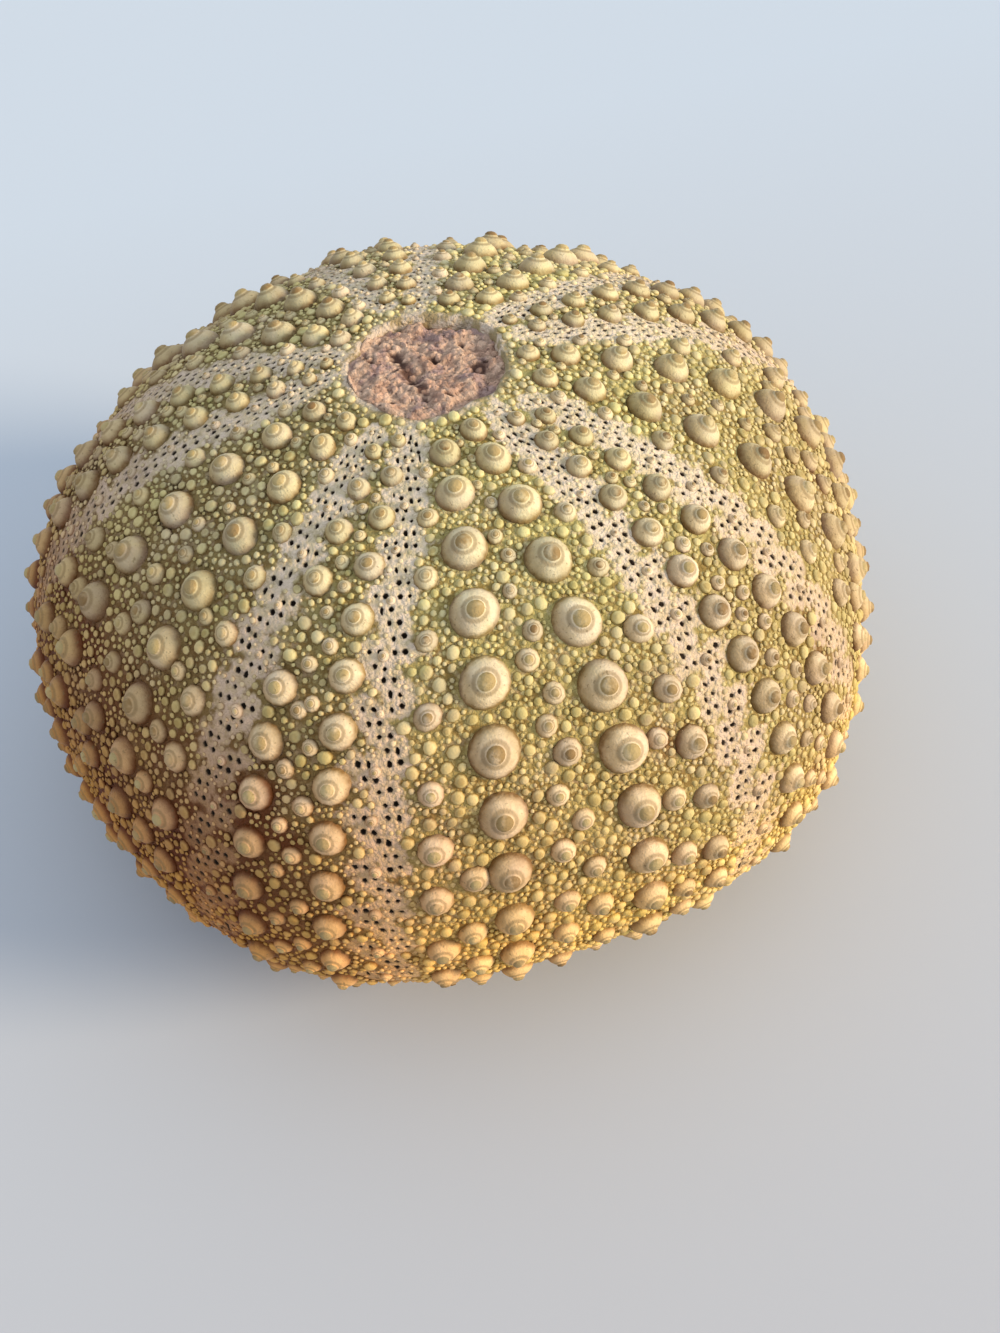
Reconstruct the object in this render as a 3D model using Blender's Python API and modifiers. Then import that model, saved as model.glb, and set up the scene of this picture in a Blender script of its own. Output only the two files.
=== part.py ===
"""Fossil sea urchin: a globular, five-rayed shell full of hardened sediment.

Two solids. urchin_shell is the shell of fused plates with its main tubercles, open at
the crown and at the mouth. sediment_fill is the stony mass inside it, which shows in
both openings. Lengths are in metres. The origin lies under the shell's axis, on the
plane that the lowest tubercles stand on. Angles round the axis start at -Y and grow
towards +X.
"""
import math

import bmesh
import bpy
import numpy as np
from mathutils import Matrix, Vector

# The bare wall: a flattened globe, upper and lower halves on their own power curves.
RADIUS = 0.029
GIRTH_HEIGHT = 0.01295
CROWN_RISE = 0.0224
CROWN_POWER = 2.10
BASE_DEPTH = 0.01435
BASE_POWER = 2.21
WALL = 0.0015
GAP = 0.0003

# The wall as seen from above: five swellings along the rays, and a slight oval.
RAY_SWELL = 0.019
OVAL = 0.0155
OVAL_ANGLE = math.radians(101.0)

# The opening at the crown, a little off the axis, and the mouth, drawn in underneath.
CROWN_OPENING = 0.0049
CROWN_SHIFT = (-0.0003, 0.0004)
SHIFT_END = 0.011
MOUTH_OPENING = 0.0105
MOUTH_RISE = 0.0022
FOOT_RADIUS = 0.0160

# The plates: five fields with large tubercles between five rays with pores. Each has two
# columns of plates, at this angle to each side of its midline, and one column starts
# part of a plate later than the other.
ZONE_STEP = math.radians(72.0)
FIELD_ANGLE = math.radians(8.9)
RAY_ANGLE = math.radians(5.0)
STAGGER = 0.00105
FIELD_STARTS = (0.00665, 0.0063, 0.0069, 0.0065, 0.0067)
RAY_STARTS = (0.00715, 0.0065, 0.0069, 0.0062, 0.0066)
RAY_LATE_SIDES = (1, -1, 1, 1, -1)
RAY_LEANS = (0.20, 0.05, -0.10, 0.12, 0.0)
LEAN_CENTRE = 0.026
MOUTH_MARGIN = 0.0012

# Plate heights and tubercle widths follow laws along the wall: the value at each of these
# lengths from the crown, and a straight run between them.
LAW_PLACES = (0.0066, 0.0088, 0.0125, 0.018, 0.026, 0.034, 0.041, 0.050, 0.062)
FIELD_PITCH = (0.0022, 0.00335, 0.0039, 0.00408, 0.00392, 0.00388, 0.0038, 0.0031, 0.0024)
RAY_PITCH = (0.0024, 0.0027, 0.0031, 0.00322, 0.00313, 0.00335, 0.0035, 0.0028, 0.0021)
FIELD_BOSS = (0.0016, 0.0021, 0.0026, 0.0029, 0.0031, 0.0027, 0.0023, 0.0020, 0.0016)
RAY_BOSS = (0.0009, 0.0013, 0.0016, 0.0019, 0.0022, 0.0021, 0.0019, 0.0016, 0.0013)
BOSS_HEIGHT = 0.46
BOSS_ROOT = 0.0005
SMALLEST_BOSS = 0.0016
MISSING = (4, -1, 4)

# How finely the solids are faceted.
NEAR = 0.0001
SHARP_ANGLE = math.radians(50.0)
TURN_STEPS = 40
FILL_STEPS = 24
OUTER_ROWS = 16
INNER_ROWS = 7
DOME_SIDES = 5

# Where the sediment stops short of each opening's rim, and how rough its faces are.
CROWN_RECESS = 0.0009
MOUTH_RECESS = 0.0012
FILL_ROUGHNESS = 0.00022
FILL_LUMPS = 1450.0

SHELL_COLOUR = (0.319, 0.245, 0.125, 1.0)
SEDIMENT_COLOUR = (0.330, 0.205, 0.150, 1.0)


def smooth_step(value):
    """0 below 0, 1 above 1, and an even S-curve between them."""
    value = np.clip(value, 0.0, 1.0)
    return value * value * (3.0 - 2.0 * value)


def profile(turn):
    """Radius and height of the wall for turn 0 (crown), 1 (girth) to 2 (middle of the mouth)."""
    upper = np.clip(turn, 0.0, 1.0) * math.pi / 2
    lower = np.clip(2.0 - turn, 0.0, 1.0) * math.pi / 2
    crown_radius = RADIUS * np.sin(upper) ** (2 / CROWN_POWER)
    crown_height = GIRTH_HEIGHT + CROWN_RISE * np.abs(np.cos(upper)) ** (2 / CROWN_POWER)
    base_radius = RADIUS * np.sin(lower) ** (2 / BASE_POWER)
    base_height = GIRTH_HEIGHT - BASE_DEPTH * np.abs(np.cos(lower)) ** (2 / BASE_POWER)
    drawn_in = smooth_step((FOOT_RADIUS - base_radius) / (FOOT_RADIUS - MOUTH_OPENING))
    base_height = base_height + MOUTH_RISE * drawn_in
    above = turn < 1.0
    return np.where(above, crown_radius, base_radius), np.where(above, crown_height, base_height)


# The profile measured along the wall from the crown, for reading places by length.
TURNS = np.linspace(0.0, 1.95, 4001)
RADII, HEIGHTS = profile(TURNS)
LENGTHS = np.concatenate([[0.0], np.cumsum(np.hypot(np.diff(RADII), np.diff(HEIGHTS)))])
CROWN_RIM = float(np.interp(CROWN_OPENING, RADII[TURNS < 1.0], LENGTHS[TURNS < 1.0]))
MOUTH_RIM = float(np.interp(-MOUTH_OPENING, -RADII[TURNS > 1.0], LENGTHS[TURNS > 1.0]))


def wall_line(lengths, depth=0.0):
    """Points (radius, height) at these lengths along the wall, this far inside it."""
    radius = np.interp(lengths, LENGTHS, RADII)
    height = np.interp(lengths, LENGTHS, HEIGHTS)
    out_radius = -np.interp(lengths, LENGTHS, np.gradient(HEIGHTS, LENGTHS))
    out_height = np.interp(lengths, LENGTHS, np.gradient(RADII, LENGTHS))
    return [(r - depth * a, h - depth * b)
            for r, h, a, b in zip(radius, height, out_radius, out_height)]


def wall_point(length, angle):
    """The point of the turned wall at this length from the crown and this angle."""
    radius = float(np.interp(length, LENGTHS, RADII))
    height = float(np.interp(length, LENGTHS, HEIGHTS))
    return Vector((radius * math.sin(angle), -radius * math.cos(angle), height))


def wall_normal(length, angle):
    """The outward direction of the turned wall there."""
    down = wall_point(length + NEAR, angle) - wall_point(length - NEAR, angle)
    return Vector((math.cos(angle), math.sin(angle), 0.0)).cross(down).normalized() * -1.0


def give_plan(mesh):
    """Moves a turned mesh's vertices into the five-rayed plan, and the crown opening aside."""
    for vertex in mesh.vertices:
        x, y, z = vertex.co
        radius = math.hypot(x, y)
        angle = math.atan2(x, -y)
        scale = 1.0 - RAY_SWELL * math.cos(5 * angle)
        scale += OVAL * math.cos(2 * (angle - OVAL_ANGLE))
        share = (SHIFT_END - radius) / (SHIFT_END - CROWN_OPENING) if z > GIRTH_HEIGHT else 0.0
        share = float(smooth_step(share))
        vertex.co = (x * scale + share * CROWN_SHIFT[0], y * scale + share * CROWN_SHIFT[1], z)


def collection(name):
    """A new collection linked to the scene."""
    group = bpy.data.collections.new(name)
    bpy.context.scene.collection.children.link(group)
    return group


def material(name, colour, roughness):
    """A plain Principled material."""
    finish = bpy.data.materials.new(name)
    finish.use_nodes = True
    shader = finish.node_tree.nodes["Principled BSDF"]
    shader.inputs["Base Color"].default_value = colour
    shader.inputs["Roughness"].default_value = roughness
    shader.inputs["Metallic"].default_value = 0.0
    return finish


def settled_mesh(source):
    """The mesh that an object has after its modifiers. The object itself is removed."""
    bpy.context.view_layer.update()
    graph = bpy.context.evaluated_depsgraph_get()
    result = bpy.data.meshes.new_from_object(source.evaluated_get(graph))
    bpy.data.objects.remove(source)
    return result


def turned_solid(name, points, closed, steps):
    """A profile of (radius, height) points turned round the axis with a Screw modifier."""
    mesh = bpy.data.meshes.new(name)
    edges = [(i, i + 1) for i in range(len(points) - 1)]
    if closed:
        edges.append((len(points) - 1, 0))
    mesh.from_pydata([(r, 0.0, h) for r, h in points], edges, [])
    turned = bpy.data.objects.new(name, mesh)
    bpy.context.scene.collection.objects.link(turned)
    screw = turned.modifiers.new("turn", "SCREW")
    screw.steps = steps
    screw.render_steps = steps
    screw.use_merge_vertices = True
    screw.merge_threshold = 0.00001
    return turned


def plate_places(first, pitch_law, lean):
    """Lengths from the crown of one column's plates. The lean crowds them towards one end."""
    places = [first]
    while places[-1] < MOUTH_RIM:
        pitch = float(np.interp(places[-1], LAW_PLACES, pitch_law))
        places.append(places[-1] + pitch * (1.0 + lean * (places[-1] - LEAN_CENTRE) / RADIUS))
    return [place for place in places if place < MOUTH_RIM - MOUTH_MARGIN]


def tubercles():
    """Every main tubercle: its length from the crown, its angle and its width."""
    for zone in range(5):
        for side in (-1, 1):
            first = FIELD_STARTS[zone] + (STAGGER if side < 0 else 0.0)
            angle = zone * ZONE_STEP + side * FIELD_ANGLE
            for place in plate_places(first, FIELD_PITCH, 0.0):
                yield place, angle, float(np.interp(place, LAW_PLACES, FIELD_BOSS))
            first = RAY_STARTS[zone] + (STAGGER if side == RAY_LATE_SIDES[zone] else 0.0)
            angle = (zone + 0.5) * ZONE_STEP + side * RAY_ANGLE
            for index, place in enumerate(plate_places(first, RAY_PITCH, RAY_LEANS[zone])):
                if (zone, side, index) != MISSING:
                    yield place, angle, float(np.interp(place, LAW_PLACES, RAY_BOSS))


def add_dome(form, place, angle, width):
    """One tubercle: a low dome on the wall, its flat root sunk below the surface."""
    normal = wall_normal(place, angle)
    turn = normal.to_track_quat("Z", "Y").to_matrix().to_4x4()
    height = width * BOSS_HEIGHT + BOSS_ROOT
    shape = Matrix.Diagonal((width / 2, width / 2, height, 1.0))
    foot = Matrix.Translation(wall_point(place, angle) - normal * BOSS_ROOT)
    made = bmesh.ops.create_uvsphere(form, u_segments=DOME_SIDES, v_segments=4, radius=1.0)
    verts = made["verts"]
    for vertex in verts:
        vertex.co.z = max(vertex.co.z, 0.1 * vertex.co.z)
    bmesh.ops.transform(form, matrix=foot @ turn @ shape, verts=verts)


def build_tubercles(group):
    """The main tubercles as domes, standing out of the wall along its normal."""
    form = bmesh.new()
    for place, angle, width in tubercles():
        if width >= SMALLEST_BOSS:
            add_dome(form, place, angle, width)
    mesh = bpy.data.meshes.new("tubercles")
    form.to_mesh(mesh)
    form.free()
    return cutter("tubercles", mesh, group)


def cutter(name, mesh, group):
    """A helper object, drawn as a wire and left out of renders."""
    helper = bpy.data.objects.new(name, mesh)
    helper.display_type = "WIRE"
    helper.hide_render = True
    group.objects.link(helper)
    return helper


def build_rest_cutter(group):
    """A block under the resting plane, which wears the lowest tubercles flat."""
    form = bmesh.new()
    bmesh.ops.create_cube(form, size=4 * RADIUS)
    bmesh.ops.translate(form, vec=(0.0, 0.0, -2 * RADIUS), verts=form.verts)
    mesh = bpy.data.meshes.new("rest_plane")
    form.to_mesh(mesh)
    form.free()
    return cutter("rest_plane", mesh, group)


def join(target, helper, operation):
    """A Boolean modifier on the target, with the exact solver."""
    step = target.modifiers.new(helper.name, "BOOLEAN")
    step.object = helper
    step.operation = operation
    step.solver = "EXACT"


def build_shell(group, helpers):
    """The shell: outer wall down, rim of the mouth, inner wall up, rim of the crown."""
    outer = wall_line(np.linspace(CROWN_RIM, MOUTH_RIM, OUTER_ROWS))
    inner = wall_line(np.linspace(MOUTH_RIM, CROWN_RIM, INNER_ROWS), WALL)
    turned = turned_solid("turned_wall", outer + inner, True, TURN_STEPS)
    join(turned, build_tubercles(helpers), "UNION")
    mesh = settled_mesh(turned)
    give_plan(mesh)
    mesh.name = "urchin_shell"
    mesh.materials.clear()
    mesh.materials.append(material("shell", SHELL_COLOUR, 0.8))
    shell = bpy.data.objects.new("urchin_shell", mesh)
    group.objects.link(shell)
    join(shell, build_rest_cutter(helpers), "DIFFERENCE")
    mesh.shade_smooth()
    mesh.set_sharp_from_angle(angle=SHARP_ANGLE)


def build_fill(group):
    """The sediment: rough faces in both openings and an even gap to the inner wall."""
    side = wall_line(np.linspace(CROWN_RIM, MOUTH_RIM, INNER_ROWS), WALL + GAP)
    crown_throat = min(side[0][0], CROWN_OPENING) - GAP
    mouth_throat = min(side[-1][0], MOUTH_OPENING) - GAP
    top = side[0][1] + WALL + GAP - CROWN_RECESS
    bottom = side[-1][1] - WALL - GAP + MOUTH_RECESS
    points = [(share * crown_throat, top) for share in (0.0, 0.4, 0.75, 1.0)]
    points += [(crown_throat, side[0][1])] + side[1:-1] + [(mouth_throat, side[-1][1])]
    points += [(share * mouth_throat, bottom) for share in (1.0, 0.6, 0.0)]
    mesh = settled_mesh(turned_solid("turned_fill", points, False, FILL_STEPS))
    give_plan(mesh)
    for vertex in mesh.vertices:
        x, y, z = vertex.co
        if z > top - NEAR or z < bottom + NEAR:
            vertex.co.z += FILL_ROUGHNESS * math.sin(FILL_LUMPS * x) * math.cos(FILL_LUMPS * y)
    mesh.name = "sediment_fill"
    mesh.materials.append(material("sediment", SEDIMENT_COLOUR, 0.9))
    fill = bpy.data.objects.new("sediment_fill", mesh)
    group.objects.link(fill)
    mesh.shade_smooth()


def main():
    for old in list(bpy.data.objects):
        bpy.data.objects.remove(old, do_unlink=True)
    parts = collection("fossil_sea_urchin")
    helpers = collection("cutters")
    build_shell(parts, helpers)
    build_fill(parts)


main()
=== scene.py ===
"""The looks of a fossil sea urchin: pored wall, tubercles, granules and sediment round the frame."""
import math
from functools import lru_cache

import bpy
import numpy as np
from bpy.props import FloatProperty, FloatVectorProperty, IntProperty, PointerProperty
from mathutils import Matrix, Vector


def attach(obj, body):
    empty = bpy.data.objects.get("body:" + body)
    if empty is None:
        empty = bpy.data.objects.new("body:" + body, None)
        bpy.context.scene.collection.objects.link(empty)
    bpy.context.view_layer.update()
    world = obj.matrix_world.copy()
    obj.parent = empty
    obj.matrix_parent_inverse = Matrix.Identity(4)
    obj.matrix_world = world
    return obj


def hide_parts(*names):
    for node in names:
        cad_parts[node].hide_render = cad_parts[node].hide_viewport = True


bl_info = {
    "name": "Fossil Sea Urchin",
    "version": (1, 0, 0),
    "blender": (4, 5, 0),
    "location": "View3D > Sidebar > Urchin",
    "description": "Builds the surface of a fossil sea urchin over its solid frame",
    "category": "Add Mesh",
}

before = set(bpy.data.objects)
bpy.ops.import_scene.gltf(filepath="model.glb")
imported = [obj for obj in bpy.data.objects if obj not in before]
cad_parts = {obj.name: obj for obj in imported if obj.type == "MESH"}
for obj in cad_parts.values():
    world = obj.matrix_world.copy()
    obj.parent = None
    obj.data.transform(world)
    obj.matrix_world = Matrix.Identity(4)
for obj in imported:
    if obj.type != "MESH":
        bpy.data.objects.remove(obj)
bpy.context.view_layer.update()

MM = 0.001
TAU = 2 * math.pi

# The bare wall, as the solid frame has it: a flattened globe on two power curves.
RADIUS = 29 * MM
GIRTH_HEIGHT = 12.95 * MM
CROWN_RISE = 22.4 * MM
CROWN_POWER = 2.10
BASE_DEPTH = 14.35 * MM
BASE_POWER = 2.21
WALL = 1.5 * MM
GAP = 0.3 * MM
RAY_SWELL = 0.019
OVAL = 0.0155
OVAL_ANGLE = math.radians(101)
CROWN_OPENING = 4.9 * MM
CROWN_SHIFT = (-0.3 * MM, 0.4 * MM)
SHIFT_END = 11 * MM
MOUTH_OPENING = 10.5 * MM
MOUTH_RISE = 2.2 * MM
FOOT_RADIUS = 16 * MM

# The plates, as the frame has them. Laws are read between LAW_PLACES, lengths along the
# wall from the crown.
ZONE_STEP = math.radians(72)
FIELD_ANGLE = math.radians(8.9)
RAY_ANGLE = math.radians(5.0)
STAGGER = 1.05 * MM
FIELD_STARTS = np.array([6.65, 6.3, 6.9, 6.5, 6.7]) * MM
RAY_STARTS = np.array([7.15, 6.5, 6.9, 6.2, 6.6]) * MM
RAY_LATE_SIDES = (1, -1, 1, 1, -1)
RAY_LEANS = (0.20, 0.05, -0.10, 0.12, 0.0)
LEAN_CENTRE = 26 * MM
MOUTH_MARGIN = 1.2 * MM
LAW_PLACES = np.array([6.6, 8.8, 12.5, 18, 26, 34, 41, 50, 62]) * MM
FIELD_PITCH = np.array([2.2, 3.35, 3.9, 4.08, 3.92, 3.88, 3.8, 3.1, 2.4]) * MM
RAY_PITCH = np.array([2.4, 2.7, 3.1, 3.22, 3.13, 3.35, 3.5, 2.8, 2.1]) * MM
FIELD_BOSS = np.array([1.6, 2.1, 2.6, 2.9, 3.1, 2.7, 2.3, 2.0, 1.6]) * MM
RAY_BOSS = np.array([0.9, 1.3, 1.6, 1.9, 2.2, 2.1, 1.9, 1.6, 1.3]) * MM
# The ray's plate that has lost its main tubercle: zone, side and number in the column.
MISSING = (4, -1, 4)
# How wide each field's bosses are against the law.
FIELD_SHARES = (1.0, 0.85, 0.88, 0.92, 0.84)

# Smaller tubercles, one per plate: law of the angle from the zone's midline in degrees, place
# within the plate (share of its height) and law of the width.
FIELD_SMALL = (
    (np.array([1.0, 1.0, 1.0, 1.0, 1.0, 1.5, 2.5, 3.0, 3.0]), -0.15,
     np.array([0.5, 0.7, 0.9, 1.1, 1.65, 1.95, 1.85, 1.5, 1.1]) * MM),
    (np.array([13.0, 13.0, 13.0, 13.2, 13.4, 13.6, 13.8, 14.0, 14.0]), 0.10,
     np.array([0.5, 0.65, 0.9, 1.15, 1.5, 1.9, 1.8, 1.5, 1.1]) * MM),
    (np.full(9, 18.0), 0.38,
     np.array([0.7, 1.0, 1.25, 1.55, 1.85, 2.05, 1.95, 1.6, 1.2]) * MM),
)
RAY_SMALL = ((np.full(9, 1.3), 0.45, np.array([0.5, 0.6, 0.75, 0.95, 1.15, 1.2, 1.2, 1.0, 0.8]) * MM),)

# The pore zones: their inner and outer edges as angles from the ray's midline, and the
# arcs of pore pairs in them.
ZONE_INNER = np.radians([6.0, 6.8, 7.6, 8.0, 8.1, 8.1, 8.0, 7.8, 7.6])
ZONE_OUTER = np.radians([17.5, 17.2, 16.3, 15.6, 15.2, 15.1, 15.1, 15.2, 15.6])
PAIR_DRIFT = np.array([0.13, 0.29, 0.53, 0.67, 0.72])
PAIR_PLACES = np.array([-0.45, -0.19, 0.04, 0.30, 0.56])
PAIR_WIDTH = np.array([0.42, 0.45, 0.50, 0.56, 0.60, 0.60, 0.58, 0.55, 0.48]) * MM
PORE_RADIUS = np.array([0.11, 0.125, 0.15, 0.175, 0.19, 0.19, 0.17, 0.13, 0.10]) * MM
# The small tubercles between one arc of pores and the next: place across the zone, place
# above the plate's middle as a share of its height, and law of the width.
CROTCH_DRIFT = 0.36
CROTCH_PLACE = -0.36
CROTCH_WIDTH = np.array([0.4, 0.45, 0.55, 0.65, 0.75, 0.8, 0.8, 0.7, 0.6]) * MM
# Granules keep this far from a pore's middle, and the few that stand nearer this far from its rim.
PORE_CLEARANCE = 0.80 * MM
RIM_CLEARANCE = 0.04 * MM
# Main tubercles count as this much wider when granules are set round them.
MAIN_MARGIN = 1.09
# Granules in three sizes, widest first: widest and narrowest width, places tried per mm2 (none
# where the setting counts), and the share of the places near pores that is tried.
GRANULE_SIZES = (
    (0.92 * MM, 0.54 * MM, 2.6, 0.05),
    (0.54 * MM, 0.38 * MM, 14, 0.06),
    (0.38 * MM, 0.26 * MM, None, 0.10),
)
# Only what stands within this length of a block of places can touch one in it.
NEARBY = 3 * MM

# How finely the wall's grid is cut: cells across a pore zone and its margins, across the
# rest of a field and of a ray, and rows along the wall.
STRIP_MARGIN = math.radians(0.9)
STRIP_CELLS = 25
FIELD_CELLS = 12
MIDLINE_CELLS = 6
UPPER_ROWS = 190
LOWER_ROWS = 76
INNER_ROWS = 9
# Rows further apart than this are drawn onto the pores' rims from further away.
SPARSE_ROWS = 0.2 * MM
# Pores narrower than this are shallower as well.
FULL_DEPTH_RADIUS = 0.14 * MM

# Relief of the wall: broad lumps, the hollow ring round each main tubercle, and rounded, rough lips.
LUMP_HEIGHT = 0.05 * MM
LUMP_SIZE = 2.2 * MM
RING_DEPTH = 0.08 * MM
RING_WIDTH = 0.35 * MM
LIP_BULGE = 0.16 * MM
LIP_ROUGHNESS = 0.09 * MM

# The crown's edge is five-sided and uneven, and fades into the round wall below it.
EDGE_WAVE = 0.11 * MM
EDGE_UNEVEN = 0.13 * MM
EDGE_TURN = math.radians(-13)
EDGE_FADE = 3.0 * MM


def srgb(red, green, blue):
    """A colour given as 0-255 screen values, turned into linear light."""
    share = np.array([red, green, blue]) / 255
    linear = np.where(share <= 0.04045, share / 12.92, ((share + 0.055) / 1.055) ** 2.4)
    return tuple(float(value) for value in linear)


class UrchinShape(bpy.types.PropertyGroup):
    boss_height: FloatProperty(
        name="Boss height", description="Height of a tubercle as a share of its width",
        default=0.46, min=0.2, max=0.5)
    granule_height: FloatProperty(
        name="Granule height", description="Height of a granule as a share of its width",
        default=0.34, min=0.1, max=0.5)
    pore_depth: FloatProperty(
        name="Pore depth", description="How deep each pore goes into the wall",
        default=0.42 * MM, unit="LENGTH", precision=5)
    granule_gap: FloatProperty(
        name="Granule gap", description="Least clear space between neighbouring granules",
        default=0.02 * MM, unit="LENGTH", precision=5)
    granule_tries: IntProperty(
        name="Granule tries", description="Random places tried for the finest granules per mm2",
        default=40, min=1)
    sediment_relief: FloatProperty(
        name="Sediment relief", description="Height of the broad lumps in the sediment",
        default=0.28 * MM, unit="LENGTH", precision=5)
    seed: IntProperty(name="Seed", description="Seed of every random choice", default=11)


class UrchinColours(bpy.types.PropertyGroup):
    # Painted shade: the dark ground between the wall's fine grains stands for shade in the crevices.
    crevice_shade: FloatVectorProperty(
        name="Crevices", description="Dark ground between the granules",
        subtype="COLOR", default=srgb(141, 120, 65), min=0, max=1)
    granule: FloatVectorProperty(
        name="Granules", description="Yellow-green stone of the granules",
        subtype="COLOR", default=srgb(207, 196, 139), min=0, max=1)
    boss: FloatVectorProperty(
        name="Bosses", description="Pale stone of the tubercles' flanks",
        subtype="COLOR", default=srgb(231, 216, 188), min=0, max=1)
    knob: FloatVectorProperty(
        name="Knobs", description="Darkest of the olive-brown knobs on the tubercles",
        subtype="COLOR", default=srgb(136, 108, 68), min=0, max=1)
    pore_zone: FloatVectorProperty(
        name="Pore zones", description="Pinkish ground between the pores",
        subtype="COLOR", default=srgb(226, 208, 189), min=0, max=1)
    # Painted shade: the dark colour inside the pores.
    pore: FloatVectorProperty(
        name="Pores", description="Dark inside of the pores",
        subtype="COLOR", default=srgb(40, 27, 18), min=0, max=1)
    # Partly rust-brown dirt and partly painted shade, low down towards -X.
    dirt_and_shade: FloatVectorProperty(
        name="Dirt", description="Rust-brown dirt caught low down on one side",
        subtype="COLOR", default=srgb(112, 68, 28), min=0, max=1)
    # Partly a warm stain and partly painted warm light, low down towards -X.
    warm_stain_and_light: FloatVectorProperty(
        name="Stain", description="Warm tint that the lower shell has taken on",
        subtype="COLOR", default=(1.0, 0.76, 0.56), min=0, max=1)
    sediment: FloatVectorProperty(
        name="Sediment", description="Pinkish sediment in the openings",
        subtype="COLOR", default=srgb(200, 164, 144), min=0, max=1)
    # Dark specks of the sediment, and painted shade in its hollows and pits.
    sediment_dark_grains_and_shade: FloatVectorProperty(
        name="Sediment pits", description="Dark hollows between the sediment's grains",
        subtype="COLOR", default=srgb(92, 66, 58), min=0, max=1)
    floor: FloatVectorProperty(
        name="Floor", description="Plain pale floor",
        subtype="COLOR", default=srgb(193, 198, 208), min=0, max=1)


class UrchinStage(bpy.types.PropertyGroup):
    view_height: FloatProperty(
        name="View height", description="Angle at which the camera looks down",
        default=math.radians(51.4), subtype="ANGLE")
    view_turn: FloatProperty(
        name="View turn", description="How far round from -Y towards -X the camera stands",
        default=math.radians(14.36), subtype="ANGLE")
    view_roll: FloatProperty(
        name="View roll", description="Roll of the camera about its line of sight",
        default=math.radians(3.98), subtype="ANGLE")
    view_distance: FloatProperty(
        name="View distance", description="From the middle of the shell to the camera",
        default=104.93 * MM, unit="LENGTH")
    view_shift: FloatVectorProperty(
        name="View shift", description="Sideways and upward step that frames the shell",
        size=2, default=(3.333 * MM, -7.129 * MM), unit="LENGTH")
    lens: FloatProperty(
        name="Lens", description="Focal length for a 36 mm long side", default=39.9, min=10)
    key_height: FloatProperty(
        name="Key height", description="How high over the floor the key light stands",
        default=math.radians(19), subtype="ANGLE")
    key_side: FloatProperty(
        name="Key side", description="How far round from +X towards -Y the key light stands",
        default=math.radians(28), subtype="ANGLE")
    key_strength: FloatProperty(
        name="Key light", description="Strength of the warm light from the right", default=3.75)
    key_spread: FloatProperty(
        name="Key spread", description="How wide the key light looks from the shell",
        default=math.radians(18), subtype="ANGLE")
    key_colour: FloatVectorProperty(
        name="Key colour", description="Colour of the light from the right",
        subtype="COLOR", default=(1.0, 0.77, 0.50), min=0, max=1)
    sky_strength: FloatProperty(
        name="Sky", description="Strength of the even light from all round", default=0.78)
    sky_colour: FloatVectorProperty(
        name="Sky colour", description="Colour of the light from all round",
        subtype="COLOR", default=(0.90, 0.95, 1.0), min=0, max=1)


# ---------------------------------------------------------------- the wall, in arrays

def smooth_step(value):
    """0 below 0, 1 above 1, and an even S-curve between them."""
    value = np.clip(value, 0, 1)
    return value * value * (3 - 2 * value)


def profile(turn):
    """Radius and height of the wall: quarter power curves, turn 0 crown, 1 girth, 2 mouth."""
    upper = np.clip(turn, 0, 1) * math.pi / 2
    lower = np.clip(2 - turn, 0, 1) * math.pi / 2
    crown_radius = RADIUS * np.sin(upper) ** (2 / CROWN_POWER)
    crown_height = GIRTH_HEIGHT + CROWN_RISE * np.abs(np.cos(upper)) ** (2 / CROWN_POWER)
    base_radius = RADIUS * np.sin(lower) ** (2 / BASE_POWER)
    base_height = GIRTH_HEIGHT - BASE_DEPTH * np.abs(np.cos(lower)) ** (2 / BASE_POWER)
    drawn_in = smooth_step((FOOT_RADIUS - base_radius) / (FOOT_RADIUS - MOUTH_OPENING))
    base_height += MOUTH_RISE * drawn_in
    above = turn < 1
    return np.where(above, crown_radius, base_radius), np.where(above, crown_height, base_height)


TURNS = np.linspace(0, 1.95, 4001)
RADII, HEIGHTS = profile(TURNS)
LENGTHS = np.concatenate([[0], np.cumsum(np.hypot(np.diff(RADII), np.diff(HEIGHTS)))])
OUT_RADIUS = -np.gradient(HEIGHTS, LENGTHS)
OUT_HEIGHT = np.gradient(RADII, LENGTHS)
CROWN_RIM = float(np.interp(CROWN_OPENING, RADII[TURNS < 1], LENGTHS[TURNS < 1]))
GIRTH = float(np.interp(1.0, TURNS, LENGTHS))
MOUTH_RIM = float(np.interp(-MOUTH_OPENING, -RADII[TURNS > 1], LENGTHS[TURNS > 1]))


def outward(lengths):
    """Radius and height of the profile's outward normal, one long, at these lengths."""
    return np.interp(lengths, LENGTHS, OUT_RADIUS), np.interp(lengths, LENGTHS, OUT_HEIGHT)


def along_wall(lengths, lift=0.0):
    """Radius and height on the profile at these lengths, moved out by lift along its normal."""
    out_radius, out_height = outward(lengths)
    radius = np.interp(lengths, LENGTHS, RADII) + lift * out_radius
    height = np.interp(lengths, LENGTHS, HEIGHTS) + lift * out_height
    return radius, height


def turned(radius, height, angle):
    """Points at these radii, heights and angles round the axis, measured from -Y to +X."""
    return np.stack(np.broadcast_arrays(radius * np.sin(angle), -radius * np.cos(angle), height), -1)


def in_plan(points):
    """Swells turned points along the five rays, adds the oval, and shifts the crown opening."""
    x, y, z = points[..., 0], points[..., 1], points[..., 2]
    radius = np.hypot(x, y)
    angle = np.arctan2(x, -y)
    scale = 1 - RAY_SWELL * np.cos(5 * angle) + OVAL * np.cos(2 * (angle - OVAL_ANGLE))
    share = smooth_step((SHIFT_END - radius) / (SHIFT_END - CROWN_OPENING)) * (z > GIRTH_HEIGHT)
    return np.stack([x * scale + share * CROWN_SHIFT[0], y * scale + share * CROWN_SHIFT[1], z], -1)


def law(lengths, values):
    """Reads a law's values at these lengths from the crown."""
    return np.interp(lengths, LAW_PLACES, values)


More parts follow.
